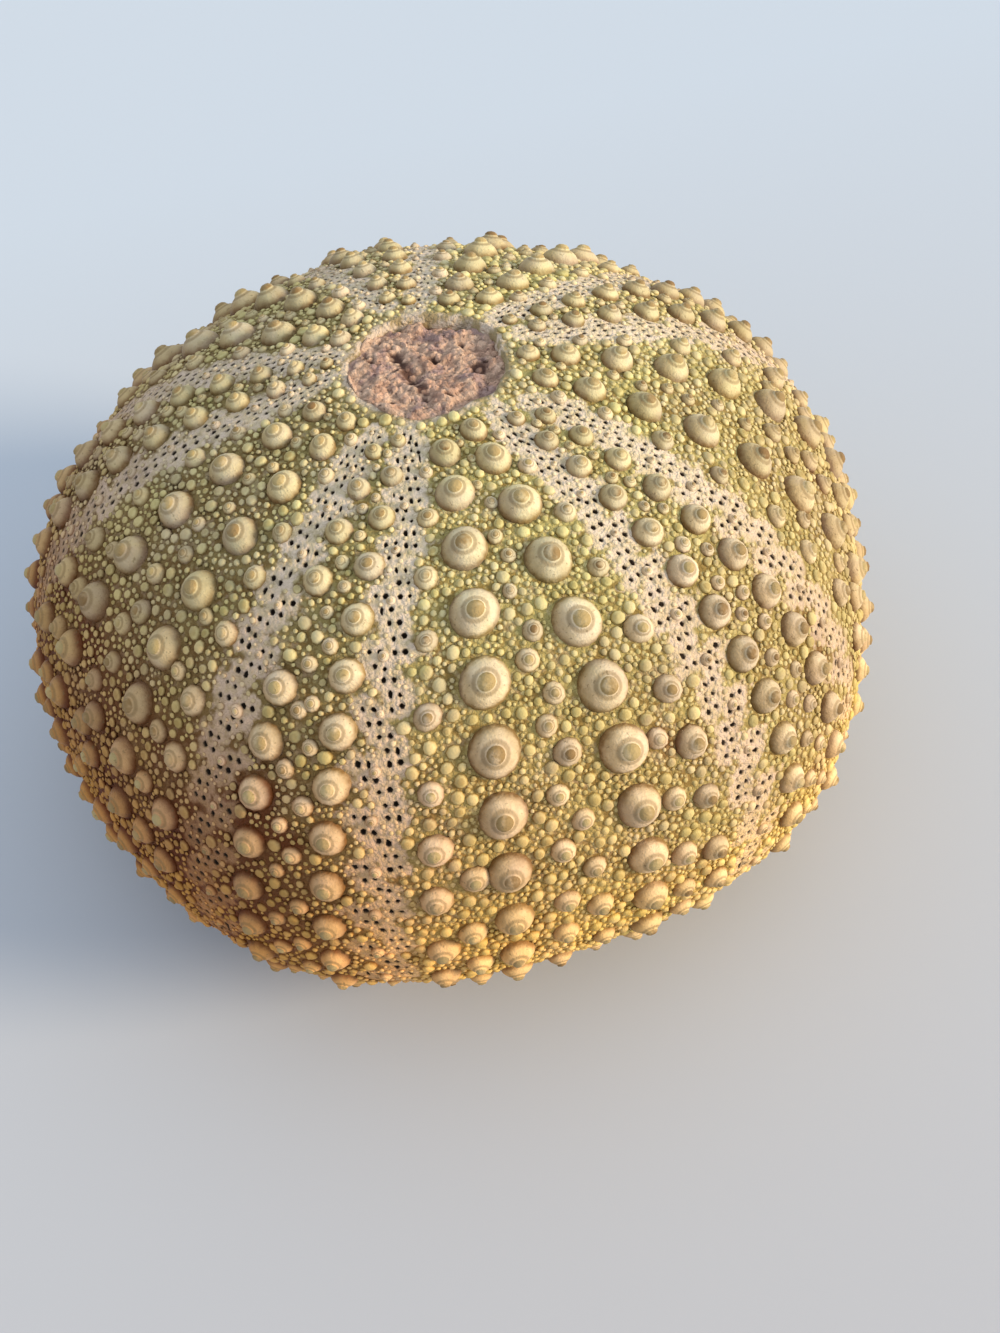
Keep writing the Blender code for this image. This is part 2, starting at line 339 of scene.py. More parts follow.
def ripple(points, size, seed, waves=14):
    """Smooth lumps of about this size, from -1 to 1: a sum of plane waves in random directions."""
    rng = np.random.default_rng(seed)
    ways = rng.normal(size=(waves, 3))
    stretch = TAU / size / np.linalg.norm(ways, axis=1, keepdims=True)
    ways *= stretch * rng.uniform(0.6, 1.5, (waves, 1))
    phases = rng.uniform(0, TAU, waves)
    total = np.zeros(points.shape[:-1])
    for way, phase in zip(ways, phases):
        total += np.sin(points @ way + phase)
    return total / (0.9 * math.sqrt(waves) * 1.5)


# ------------------------------------------------------------- where the tubercles stand

def plate_places(first, pitch_law, lean):
    """Lengths from the crown of one column's plates, stepped by the pitch law."""
    places = [float(first)]
    while places[-1] < MOUTH_RIM:
        pitch = float(law(places[-1], pitch_law))
        places.append(places[-1] + pitch * (1 + lean * (places[-1] - LEAN_CENTRE) / RADIUS))
    return np.array([place for place in places if place < MOUTH_RIM - MOUTH_MARGIN])


def columns():
    """Each column of plates: zone, side, whether it is in a field, midline angle, plate lengths."""
    for zone in range(5):
        for side in (-1, 1):
            first = FIELD_STARTS[zone] + (STAGGER if side < 0 else 0)
            yield zone, side, True, zone * ZONE_STEP, plate_places(first, FIELD_PITCH, 0)
            first = RAY_STARTS[zone] + (STAGGER if side == RAY_LATE_SIDES[zone] else 0)
            middle = (zone + 0.5) * ZONE_STEP
            yield zone, side, False, middle, plate_places(first, RAY_PITCH, RAY_LEANS[zone])


@lru_cache(maxsize=None)
def main_tubercles(in_field):
    """Lengths, angles and widths of the main tubercles of the fields or of the rays."""
    found = []
    for zone, side, field, middle, places in columns():
        if field != in_field:
            continue
        if not field and (zone, side) == MISSING[:2]:
            places = np.delete(places, MISSING[2])
        angle = middle + side * (FIELD_ANGLE if field else RAY_ANGLE)
        widths = law(places, FIELD_BOSS) * FIELD_SHARES[zone] if field else law(places, RAY_BOSS)
        found.append(np.stack([places, np.full(len(places), angle), widths]))
    return np.concatenate(found, 1)


def all_mains():
    """The main tubercles of the fields and then of the rays, in one table."""
    return np.concatenate([main_tubercles(True), main_tubercles(False)], 1)


@lru_cache(maxsize=None)
def small_tubercles(seed):
    """Lengths, angles and widths of the one-per-plate smaller tubercles of every column."""
    rng = np.random.default_rng(seed)
    found = []
    for _, side, field, middle, places in columns():
        pitch = law(places, FIELD_PITCH if field else RAY_PITCH)
        for offset, share, widths in (FIELD_SMALL if field else RAY_SMALL):
            lengths = places + pitch * (share + rng.normal(0, 0.07, len(places)))
            angles = middle + side * np.radians(law(lengths, offset))
            angles += rng.normal(0, 0.004, len(places))
            sizes = law(lengths, widths) * rng.uniform(0.8, 1.12, len(places))
            found.append(np.stack([lengths, angles, sizes]))
        if not field:
            lengths = places + CROTCH_PLACE * pitch + rng.normal(0, 0.1 * MM, len(places))
            drift = CROTCH_DRIFT + rng.normal(0, 0.03, len(places))
            angles = middle + side * across_zone(lengths, drift)
            sizes = law(lengths, CROTCH_WIDTH) * rng.uniform(0.7, 1.15, len(places))
            found.append(np.stack([lengths, angles, sizes]))
    found = np.concatenate(found, 1)
    clear = (found[0] > CROWN_RIM + 1.0 * MM) & (found[0] < MOUTH_RIM - 0.8 * MM)
    found = found[:, clear]
    return found[:, ~touches(found, all_mains(), 0.9).any(1)]


def across_zone(lengths, share):
    """Angle from the ray's midline at this share of the way across its pore zone."""
    inner = law(lengths, ZONE_INNER)
    return inner + share * (law(lengths, ZONE_OUTER) - inner)


@lru_cache(maxsize=None)
def pores(zone, side, seed):
    """Lengths, angles and radii of the pores of one side of one ray: an arc of pairs a plate."""
    rng = np.random.default_rng([seed, zone, side + 1])
    places = next(column[4] for column in columns() if column[:3] == (zone, side, False))
    pitch = law(places, RAY_PITCH)
    lengths = places[:, None] + pitch[:, None] * PAIR_PLACES + rng.normal(0, 0.03 * MM, (len(places), 5))
    share = PAIR_DRIFT + rng.normal(0, 0.012, lengths.shape)
    middle = (zone + 0.5) * ZONE_STEP + side * across_zone(lengths, share)
    radius = along_wall(lengths)[0]
    half = law(lengths, PAIR_WIDTH) / 2 / radius
    tilt = rng.normal(0, 0.05 * MM, lengths.shape)
    both = np.stack([lengths - tilt, lengths + tilt]).ravel()
    angles = np.stack([middle - half, middle + half]).ravel()
    sizes = law(both, PORE_RADIUS) * rng.uniform(0.72, 1.15, len(both))
    kept = (both > CROWN_RIM + 0.7 * MM) & (both < MOUTH_RIM - 0.7 * MM)
    return np.stack([both, angles, sizes])[:, kept]


def batches(count, size=20000):
    """Slices that take a long table's places a batch at a time, to spare memory."""
    return [slice(start, start + size) for start in range(0, count, size)]


def apart(some, others):
    """Distances along the wall between two sets of (length, angle) places, as a table."""
    radius = along_wall(some[0])[0]
    turn = (some[1][:, None] - others[1][None] + math.pi) % TAU - math.pi
    return np.hypot(some[0][:, None] - others[0][None], turn * radius[:, None])


def touches(some, others, share=1.0):
    """Which circles of one set overlap which of another, from their widths in row 2."""
    reach = (some[2][:, None] + others[2][None]) / 2 * share
    return apart(some, others) < reach


def pore_ground(lengths, angles, seed):
    """How far a place belongs to the bare ground round the pores: 1 at a pore, 0 a plate away."""
    where = np.stack([lengths.ravel(), angles.ravel()])
    nearest = np.full(where.shape[1], 10 * MM)
    turn = (where[1] / ZONE_STEP - 0.5) % 5
    for zone in range(5):
        for side in (-1, 1):
            off = (turn - zone + 2.5) % 5 - 2.5
            there = np.flatnonzero((np.abs(off) < 0.32) & (off * side > 0.02))
            found = pores(zone, side, seed)
            for part in batches(len(there)):
                piece = there[part]
                nearest[piece] = np.minimum(nearest[piece], apart(where[:, piece], found).min(1))
    return (1 - smooth_step((nearest - 0.25 * MM) / (0.85 * MM))).reshape(lengths.shape)


# --------------------------------------------------------------------------- mesh making

def mesh_from(name, points, corners, counts):
    """A mesh from points, a flat list of face corners and the number of corners per face."""
    mesh = bpy.data.meshes.new(name)
    mesh.vertices.add(len(points))
    mesh.vertices.foreach_set("co", np.ascontiguousarray(points, np.float32).ravel())
    mesh.loops.add(len(corners))
    mesh.loops.foreach_set("vertex_index", np.ascontiguousarray(corners, np.int32))
    mesh.polygons.add(len(counts))
    starts = np.concatenate([[0], np.cumsum(counts)[:-1]]).astype(np.int32)
    mesh.polygons.foreach_set("loop_start", starts)
    mesh.polygons.foreach_set("use_smooth", np.ones(len(counts), bool))
    mesh.update(calc_edges=True)
    mesh.validate()
    return mesh


def paint(mesh, name, values):
    """Keeps one number per vertex in the mesh, for its material to read."""
    layer = mesh.attributes.new(name, "FLOAT", "POINT")
    layer.data.foreach_set("value", np.ascontiguousarray(values, np.float32).ravel())


def grid_index(rows, cells):
    """Numbers of a grid's points row by row, and of each one's neighbour round the axis."""
    index = np.arange(rows * cells).reshape(rows, cells)
    return index, np.roll(index, -1, 1)


def closed_grid(name, points):
    """A mesh from a grid of points that closes on itself both ways, faces outwards."""
    rows, cells = points.shape[:2]
    index, right = grid_index(rows, cells)
    quads = np.stack([index, np.roll(index, -1, 0), np.roll(right, -1, 0), right], -1)
    return mesh_from(name, points.reshape(-1, 3), quads.ravel(), np.full(rows * cells, 4))


def capped_grid(name, points, first, last):
    """A mesh from rings of points, closed at both ends by a fan to a single point."""
    rows, cells = points.shape[:2]
    index, right = grid_index(rows, cells)
    quads = np.stack([index[:-1], index[1:], right[1:], right[:-1]], -1).ravel()
    top = np.stack([np.full(cells, rows * cells), index[0], right[0]], -1).ravel()
    end = np.stack([np.full(cells, rows * cells + 1), right[-1], index[-1]], -1).ravel()
    every = np.concatenate([points.reshape(-1, 3), [first], [last]])
    counts = np.concatenate([np.full((rows - 1) * cells, 4), np.full(2 * cells, 3)])
    return mesh_from(name, every, np.concatenate([quads, top, end]), counts)


def domes(name, places, outline, sides, rng, height, ground, wobble, lean):
    """Many tubercles in one mesh: an outline of (radius, height) shares carried round each axis.

    Each ring is widened by two slow waves round the axis, and the top leans a little.
    Rings close with a tip above and a flat face below. A kept number gives how far a point
    stands from the axis towards -X, in half widths, for the painted shade on that side.
    """
    lengths, angles, widths = places
    count, rings = len(lengths), len(outline)
    each = rings * sides + 1
    centre = turned(*along_wall(lengths), angles)
    normal = turned(*outward(lengths), angles)
    side = np.stack([np.cos(angles), np.sin(angles), np.zeros(count)], -1)
    upward = np.cross(normal, side)
    theta = TAU * np.arange(sides) / sides + rng.uniform(0, TAU, (count, 1))
    waves = 1 + wobble * (np.sin(2 * theta + rng.uniform(0, TAU, (count, 1)))
                          + 0.6 * np.sin(3 * theta + rng.uniform(0, TAU, (count, 1))))
    share, tall = np.array(outline).T
    reach = widths[:, None, None] / 2 * share[:, None] * waves[:, None]
    rise = (widths * height)[:, None] * tall
    tip = rng.normal(0, lean, (count, 2)) * widths[:, None]
    shift = np.clip(tall, 0, 1) ** 2
    across = reach * np.cos(theta)[:, None, :] + (tip[:, :1] * shift)[..., None]
    along = reach * np.sin(theta)[:, None, :] + (tip[:, 1:] * shift)[..., None]
    points = (centre[:, None, None] + normal[:, None, None] * rise[..., None, None]
              + side[:, None, None] * across[..., None] + upward[:, None, None] * along[..., None])
    tips = (centre + normal * (widths * height)[:, None]
            + side * tip[:, :1] + upward * tip[:, 1:])
    block = np.concatenate([points.reshape(count, -1, 3), tips[:, None]], 1)
    block[..., 2] = np.maximum(block[..., 2], 0)
    index, right = grid_index(rings, sides)
    quads = np.stack([index[:-1], right[:-1], right[1:], index[1:]], -1).ravel()
    fan = np.stack([index[-1], right[-1], np.full(sides, rings * sides)], -1).ravel()
    corners = np.concatenate([quads, fan, index[0][::-1]])
    counts = np.concatenate([np.full((rings - 1) * sides, 4), np.full(sides, 3), [sides]])
    every = (corners + (np.arange(count) * each)[:, None]).ravel()
    mesh = mesh_from(name, in_plan(block).reshape(-1, 3), every, np.tile(counts, count))
    paint(mesh, "rise", np.tile(np.append(np.repeat(np.clip(tall, 0, 1), sides), 1), count))
    paint(mesh, "tone", np.repeat(rng.uniform(0, 1, count), each))
    paint(mesh, "pore_zone", np.repeat(ground, each))
    # How far each point stands towards -X, for the painted shade on that side of each tubercle.
    shade_side = side[:, 0, None, None] * across + upward[:, 0, None, None] * along
    tip_shade_side = side[:, 0] * tip[:, 0] + upward[:, 0] * tip[:, 1]
    shade_side = np.concatenate([shade_side.reshape(count, -1), tip_shade_side[:, None]], 1) / -(widths / 2)[:, None]
    paint(mesh, "shade_side", shade_side.ravel())
    return mesh


def put(name, data):
    """A new object in the scene with this mesh, light or camera."""
    item = bpy.data.objects.new(name, data)
    bpy.context.scene.collection.objects.link(item)
    return item


def add_piece(mesh, material, replaced=None):
    """Puts a finished mesh in the scene, riding on the one body."""
    piece = put(mesh.name, mesh)
    mesh.materials.clear()
    mesh.materials.append(material)
    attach(piece, "root")
    if replaced:
        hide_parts(replaced)


# ----------------------------------------------------------------------------- materials

class Nodes:
    """A short way to write a material's nodes and links."""

    def __init__(self, name):
        self.material = bpy.data.materials.new(name)
        self.material.use_nodes = True
        self.tree = self.material.node_tree
        self.shader = self.tree.nodes["Principled BSDF"]

    def feed(self, socket, value):
        """Links another node's output to a socket, or sets a colour or number on it."""
        if isinstance(value, bpy.types.NodeSocket):
            self.tree.links.new(value, socket)
        else:
            socket.default_value = (*value, 1) if socket.type == "RGBA" else value

    def add(self, kind, output=0, inputs=(), **settings):
        """A new node with these settings and inputs, given by its output."""
        node = self.tree.nodes.new("ShaderNode" + kind)
        for key, value in settings.items():
            setattr(node, key, value)
        for key, value in dict(inputs).items():
            self.feed(node.inputs[key], value)
        return node.outputs[output]

    def place(self):
        """The shaded point's place in metres."""
        return self.add("TexCoord", "Object")

    def parts(self):
        """The place's X, Y and Z."""
        return self.add("SeparateXYZ", 0, {0: self.place()}).node.outputs

    def attribute(self, name):
        """The number that the mesh keeps per vertex under this name."""
        return self.add("Attribute", "Fac", attribute_name=name)

    def noise(self, size, detail, seed, contrast=(0.35, 0.65)):
        """Noise with features of about this size in metres, from 0 to 1, offset by seed."""
        shift = self.add("VectorMath", 0, {0: self.place(), 1: (seed, seed * 0.7, seed * 1.3)},
                         operation="ADD")
        grey = self.add("TexNoise", "Fac", {"Vector": shift, "Scale": 1 / size, "Detail": detail})
        return self.span(grey, *contrast)

    def cells(self, output, size):
        """Cells of about this size in metres: the distance to their middles, or their colours."""
        return self.add("TexVoronoi", output, {"Vector": self.place(), "Scale": 1 / size})

    def span(self, value, low, high, to_low=0.0, to_high=1.0):
        """Maps low..high to to_low..to_high with smooth ends."""
        return self.add("MapRange", "Result", {
            "Value": value, "From Min": low, "From Max": high,
            "To Min": to_low, "To Max": to_high}, interpolation_type="SMOOTHSTEP")

    def times(self, first, second):
        """One number times another."""
        return self.add("Math", 0, {0: first, 1: second}, operation="MULTIPLY")

    def plus(self, first, second, clamped=False):
        """One number plus another, kept between 0 and 1 where clamped."""
        return self.add("Math", 0, {0: first, 1: second}, operation="ADD", use_clamp=clamped)

    def mix(self, share, first, second, blend="MIX"):
        """The first colour with a share of the second."""
        node = self.tree.nodes.new("ShaderNodeMix")
        node.data_type = "RGBA"
        node.blend_type = blend
        for socket, value in ((0, share), (6, first), (7, second)):
            self.feed(node.inputs[socket], value)
        return node.outputs[2]

    def tinted(self, share, colour, tint):
        """A colour with a share of itself times a tint."""
        return self.mix(share, colour, self.mix(1.0, colour, tint, "MULTIPLY"))

    def dimmed(self, colour, grey):
        """A colour times a grey value."""
        shade = self.add("CombineColor", 0, {0: grey, 1: grey, 2: grey})
        return self.mix(1.0, colour, shade, "MULTIPLY")

    def bump(self, height, strength, distance):
        """Tilts the shading by a height from 0 to 1 that stands for this distance."""
        normal = self.add("Bump", "Normal", {
            "Height": height, "Strength": strength, "Distance": distance})
        self.feed(self.shader.inputs["Normal"], normal)

    def finish(self, colour, roughness, specular=0.3):
        """The finished material, with its colour and its gloss on the shader's own sockets."""
        self.feed(self.shader.inputs["Base Color"], colour)
        self.feed(self.shader.inputs["Roughness"], roughness)
        self.feed(self.shader.inputs["Specular IOR Level"], specular)
        return self.material


def leftward(nodes, start, end, least=0.0):
    """A share that grows from least to 1 on the way towards -X, a little turned towards +Y."""
    parts = nodes.parts()
    return nodes.span(nodes.plus(parts["X"], nodes.times(parts["Y"], -0.25)), start, end, least, 1.0)


def level(nodes, start, end):
    """A share that grows from 0 to 1 between two heights."""
    return nodes.span(nodes.parts()["Z"], start, end)


def dirt_and_shade_share(nodes):
    """Rust-brown patches low down on the side towards -X, partly dirty stone and partly painted shade,
    and a few dirty spots.
    """
    patches = nodes.span(nodes.noise(6 * MM, 4, 3.1, (0.28, 0.58)), 0, 1, 0.30, 1)
    # Partly dirt and partly painted shade: the share low down towards -X.
    low_left_dirt_and_shade = nodes.times(level(nodes, 34 * MM, 19 * MM), leftward(nodes, -1 * MM, -18 * MM, 0.08))
    spots = nodes.times(nodes.noise(6 * MM, 3, 7.7, (0.60, 0.72)),
                        nodes.span(level(nodes, 33 * MM, 22 * MM), 0, 1, 0.25, 0.70))
    return nodes.plus(nodes.times(low_left_dirt_and_shade, patches), spots, True)


def tinted_by_light_and_stain(nodes, colour, warm_stain_and_light):
    """Tints a colour: painted sky light on top, painted shade towards -X, painted warm bounce light
    lower down, a warm tint low towards -X that is partly staining and partly painted warm light, and
    darker rust-brown low on the -X side that is partly rust and partly painted shade.
    """
    for tint, share in (
            # Painted light: the top is lighter and bluer, as if lit by the sky.
            ((1.07, 1.13, 1.16), level(nodes, 28 * MM, 34 * MM)),
            # Painted shade: darker towards -X.
            ((0.89, 0.84, 0.82), leftward(nodes, 5 * MM, -25 * MM)),
            # Painted light: lower down the shell is brighter and ochre, standing for warm bounce light.
            ((1.26, 1.15, 0.86), level(nodes, 20 * MM, 13 * MM)),
            # Partly staining and partly painted warm light: warmer low down towards -X.
            (warm_stain_and_light, nodes.times(level(nodes, 33 * MM, 18 * MM),
                                leftward(nodes, 20 * MM, -10 * MM, 0.30))),
            # Partly rust and partly painted shade: darker and browner low on the -X side.
            ((0.78, 0.64, 0.46), nodes.times(level(nodes, 29 * MM, 17 * MM),
                                             leftward(nodes, -3 * MM, -17 * MM)))):
        colour = nodes.tinted(share, colour, tint)
    return colour


def stone_colour(nodes, colours, low, high, foot, greenness, greyness):
    """From a low to a high colour over the foot's rise, the darker foot being painted shade, with green
    and grey patches, dirty patches and painted shade low towards -X, and the tints of painted light,
    shade and staining.
    """
    rise = nodes.attribute("rise")
    worn = nodes.span(nodes.noise(0.5 * MM, 2, 1.2, (0.3, 0.7)), 0, 1, -0.15, 0.15)
    # Painted shade: the low colour at the foot stands for the shade in the crease round each tubercle
    # and granule.
    colour = nodes.mix(nodes.plus(nodes.span(rise, -0.02, foot), worn, True), low, high)
    green = nodes.times(nodes.noise(7 * MM, 3, 0.4, (0.40, 0.62)), greenness)
    colour = nodes.mix(green, colour, srgb(181, 180, 114))
    violet = nodes.times(nodes.noise(3 * MM, 3, 5.4, (0.46, 0.64)), greyness)
    colour = nodes.mix(violet, colour, srgb(191, 178, 168))
    colour = nodes.mix(nodes.times(nodes.attribute("pore_zone"), 0.6), colour, colours.pore_zone)
    # Dirt and painted shade gather only low on each rise, at the foot.
    caught = nodes.span(rise, 0.60, 0.02, 0.08, 1.0)
    colour = nodes.mix(nodes.times(dirt_and_shade_share(nodes), caught), colour, colours.dirt_and_shade)
    tone = nodes.span(nodes.attribute("tone"), 0, 1, 0.96, 1.18)
    return nodes.dimmed(tinted_by_light_and_stain(nodes, colour, colours.warm_stain_and_light), tone)


def side_shade_browned(nodes, colour, most):
    """A colour darkened and made browner on each tubercle's side towards -X: painted shade, partly a
    brown film.
    """
    share = nodes.span(nodes.attribute("shade_side"), 0.05, 0.75, 0.0, most)
    return nodes.tinted(share, colour, (0.60, 0.50, 0.38))


def boss_material(colours):
    """Tubercles: pale pinkish flanks, darker brown at the foot as painted shade, an olive-brown knob
    with a dark ring of painted shade round it, faint speckle, and painted shade on the side towards -X.
    """
    nodes = Nodes("tubercle stone")
    # Partly painted shade and partly the stone's own greener tone: bosses away from -Y are duller and
    # greener.
    pale_front_share = nodes.span(nodes.parts()["Y"], -8 * MM, -19 * MM, 0.15, 1.0)
    flank = nodes.mix(pale_front_share, srgb(202, 190, 146), colours.boss)
    flank = nodes.mix(nodes.times(nodes.noise(0.9 * MM, 3, 2.0), 0.5), flank, srgb(198, 182, 146))
    # The brown low colour at the foot is painted shade.
    colour = stone_colour(nodes, colours, srgb(137, 111, 74), flank, 0.45, 0.15, 0.35)
    rise = nodes.attribute("rise")
    knob = nodes.mix(nodes.attribute("tone"), colours.knob, srgb(187, 168, 118))
    patchy = nodes.span(nodes.noise(0.7 * MM, 2, 9.0, (0.25, 0.6)), 0, 1, 0.45, 1.0)
    colour = nodes.mix(nodes.times(nodes.span(rise, 0.74, 0.82), patchy), colour, knob)
    # Painted shade: a dark ring round the knob's foot, where its groove lies.
    ring = nodes.times(nodes.span(rise, 0.56, 0.64), nodes.span(rise, 0.74, 0.66))
    colour = nodes.mix(nodes.times(ring, 0.55), colour, srgb(129, 105, 65))
    speck = nodes.times(nodes.noise(0.22 * MM, 2, 11.0, (0.63, 0.72)), 0.5)
    # Painted shade, partly a brown film, on each boss's side towards -X.
    colour = side_shade_browned(nodes, nodes.mix(speck, colour, srgb(118, 99, 65)), 0.85)
    nodes.bump(nodes.noise(0.16 * MM, 3, 4.0), 0.45, 0.05 * MM)
    return nodes.finish(colour, 0.6)


def granule_material(colours):
    """Granules: darker at the foot as painted shade, more so towards -X, yellow-green to cream above,
    many with an olive crest, and painted shade on the side towards -X.
    """
    nodes = Nodes("granule stone")
    tone = nodes.attribute("tone")
    top = nodes.mix(tone, colours.granule, srgb(215, 205, 156))
    crest = nodes.times(nodes.span(nodes.attribute("rise"), 0.60, 0.95),
                        nodes.span(tone, 0.9, 0.1, 0.25, 0.70))
    top = nodes.mix(crest, top, srgb(165, 142, 84))
    # Painted shade: the foot's colour, darker still towards -X.
    low = nodes.mix(leftward(nodes, 4 * MM, -14 * MM), srgb(181, 161, 99), srgb(132, 104, 62))
    # Painted shade, partly a brown film, on each granule's side towards -X.
    colour = side_shade_browned(nodes, stone_colour(nodes, colours, low, top, 0.70, 0.35, 0.3), 0.55)
    nodes.bump(nodes.noise(0.12 * MM, 2, 4.0), 0.4, 0.04 * MM)
    return nodes.finish(colour, 0.65)


def wall_material(colours):
    """The wall: finely grained ground with painted shade between the grains and towards -X, pinkish pore
    zones, painted shade in the pores and pale rims.
    """
    nodes = Nodes("wall stone")
    # Dirt and painted shade low down towards -X.
    dirt_and_shade = dirt_and_shade_share(nodes)
    # Painted shade: the crevice colour darkens the ground at the edges of the fine grains.
    grain = nodes.span(nodes.cells("Distance", 0.34 * MM), 0.62, 0.22)
    ground = nodes.mix(grain, colours.crevice_shade, srgb(214, 202, 145))
    ground = nodes.mix(nodes.noise(1.4 * MM, 3, 1.0, (0.40, 0.66)), ground, srgb(177, 165, 105))
    # Painted shade: the ground is darker and browner towards -X.
    ground = nodes.mix(nodes.times(leftward(nodes, 4 * MM, -14 * MM), 0.6), ground, srgb(112, 86, 50))
    ground = nodes.mix(dirt_and_shade, ground, colours.dirt_and_shade)
    zone = nodes.mix(nodes.noise(0.5 * MM, 3, 6.0), colours.pore_zone, srgb(214, 197, 165))
    zone = nodes.mix(nodes.times(dirt_and_shade, 0.55), zone, colours.dirt_and_shade)
    ragged = nodes.span(nodes.noise(0.7 * MM, 3, 8.0, (0, 1)), 0.3, 0.7, -0.38, 0.30)
    edge = nodes.plus(nodes.attribute("pore_zone"), ragged, True)
    colour = nodes.mix(nodes.span(edge, 0.10, 0.80), ground, zone)
    worn = nodes.noise(0.9 * MM, 4, 12.0, (0.42, 0.58))
    lip = nodes.mix(worn, srgb(213, 194, 175), srgb(159, 140, 105))
    colour = tinted_by_light_and_stain(nodes, nodes.mix(nodes.attribute("rim"), colour, lip), colours.warm_stain_and_light)
    # Painted shade inside the pores and on part of their rims.
    colour = nodes.mix(nodes.span(nodes.attribute("pore_shade"), 0.18, 0.5), colour, colours.pore)
    uneven = nodes.plus(nodes.noise(0.18 * MM, 4, 4.0), nodes.times(grain, 1.2))
    nodes.bump(uneven, 0.75, 0.09 * MM)
    return nodes.finish(colour, 0.7)


def sediment_material(colours):
    """Sediment: pinkish, cream and violet-grey grains, with painted shade between them and in the pits,
    and dark specks.
    """
    nodes = Nodes("sediment stone")
    tones = nodes.mix(nodes.noise(1.1 * MM, 3, 1.0), colours.sediment, srgb(222, 192, 170))
    tones = nodes.mix(nodes.noise(1.6 * MM, 3, 13.0, (0.5, 0.62)), tones, srgb(172, 146, 142))
    grain = nodes.add("SeparateColor", 0, {0: nodes.cells("Color", 0.30 * MM)})
    tones = nodes.dimmed(tones, nodes.span(grain, 0, 1, 0.78, 1.14))
    # Painted shade: the sediment's low places between the grains and in the pits are darkened.
    hollow = nodes.span(nodes.attribute("rise"), 0.60, 0.15)
    colour = nodes.mix(hollow, tones, colours.sediment_dark_grains_and_shade)
    specks = nodes.times(nodes.noise(0.35 * MM, 3, 14.0, (0.60, 0.68)), 0.7)
    colour = nodes.mix(specks, colour, colours.sediment_dark_grains_and_shade)
    nodes.bump(nodes.noise(0.17 * MM, 4, 4.0), 0.8, 0.09 * MM)
    return nodes.finish(colour, 0.8)


# ------------------------------------------------------------------------------ the wall

def wall_columns(lengths):
    """Angles of the wall's grid lines at each length, fine across the pore zones.

    Each fifth runs from one field's midline over a ray to the next. Its lines are evenly
    spaced within the half field, the pore zone, the ray's middle and back out again.
    """
    inner = law(lengths, ZONE_INNER) - STRIP_MARGIN
    outer = law(lengths, ZONE_OUTER) + STRIP_MARGIN
    half = np.full(len(lengths), ZONE_STEP / 2)
    edges = [-half, -outer, -inner, inner, outer, half]
    cells = [FIELD_CELLS // 2, STRIP_CELLS, MIDLINE_CELLS, STRIP_CELLS, FIELD_CELLS // 2]
    shares = [np.arange(n) / n for n in cells]
    fifth = np.concatenate([lo[:, None] + (hi - lo)[:, None] * share[None]
                            for lo, hi, share in zip(edges[:-1], edges[1:], shares)], 1)
    middles = (np.arange(5) + 0.5) * ZONE_STEP
    return (fifth[:, None] + middles[None, :, None]).reshape(len(lengths), -1)


def edge_wave(angles, lengths):
    """How far the wall is drawn back from the crown: five lobes and uneven lumps, fading away."""
    ring = turned(CROWN_OPENING, 0.0, angles)
    wave = EDGE_WAVE * np.cos(5 * (angles - EDGE_TURN)) + EDGE_UNEVEN * ripple(ring, 2.4 * MM, 5)
    return wave * smooth_step(1 - (lengths - CROWN_RIM) / EDGE_FADE)


def push_pores(lengths, angles, depth, pore_shade, seed):
    """Draws the grid's points near each pore onto its rim, and pushes the inmost ones in."""
    cells = lengths.shape[1] // 5
    strip = FIELD_CELLS // 2
    spans = {-1: (strip, strip + STRIP_CELLS + 1),
             1: (strip + STRIP_CELLS + MIDLINE_CELLS, strip + 2 * STRIP_CELLS + MIDLINE_CELLS + 1)}
    deep = bpy.context.scene.urchin_shape.pore_depth
    for zone in range(5):
        for side, (low, high) in spans.items():
            part = (slice(None), slice(zone * cells + low, zone * cells + high))
            place, turn = lengths[part], angles[part]
            rows = np.abs(np.gradient(place, axis=0))
            radius = along_wall(place)[0]
            width = np.abs(np.gradient(turn, axis=1)) * radius
            found = pores(zone, side, seed)
            gaps_down = place[..., None] - found[0]
            gaps_side = (turn[..., None] - found[1]) * radius[..., None]
            gaps = np.hypot(gaps_down, gaps_side)
            near = gaps.argmin(-1)
            gap, down, across = (np.take_along_axis(table, near[..., None], -1)[..., 0]
                                 for table in (gaps, gaps_down, gaps_side))
            size = found[2][near]
            inmost = np.maximum(0.5 * size, 0.5 * np.hypot(rows, width))
            inside = gap < inmost
            rim = ~inside & (gap < size + 0.5 * np.maximum(rows, width))
            sparse = np.hypot(down / (size + 1.05 * rows), across / (size + 0.5 * width)) < 1
            rim = np.where(rows > SPARSE_ROWS, ~inside & sparse, rim)
            wanted = np.where(rim, size, np.where(inside, np.minimum(gap, 0.55 * size), gap))
            pull = wanted / np.maximum(gap, 1e-9)
            lengths[part] = place + down * (pull - 1)
            angles[part] = turn + across * (pull - 1) / radius
            depth[part] = np.where(inside, -deep * np.minimum(1, size / FULL_DEPTH_RADIUS), depth[part])
            # Marks each pore's inside, and part of its rim, for painted shade.
            pore_shade[part] = np.where(inside, 1.0, np.where(rim, 0.3, pore_shade[part]))


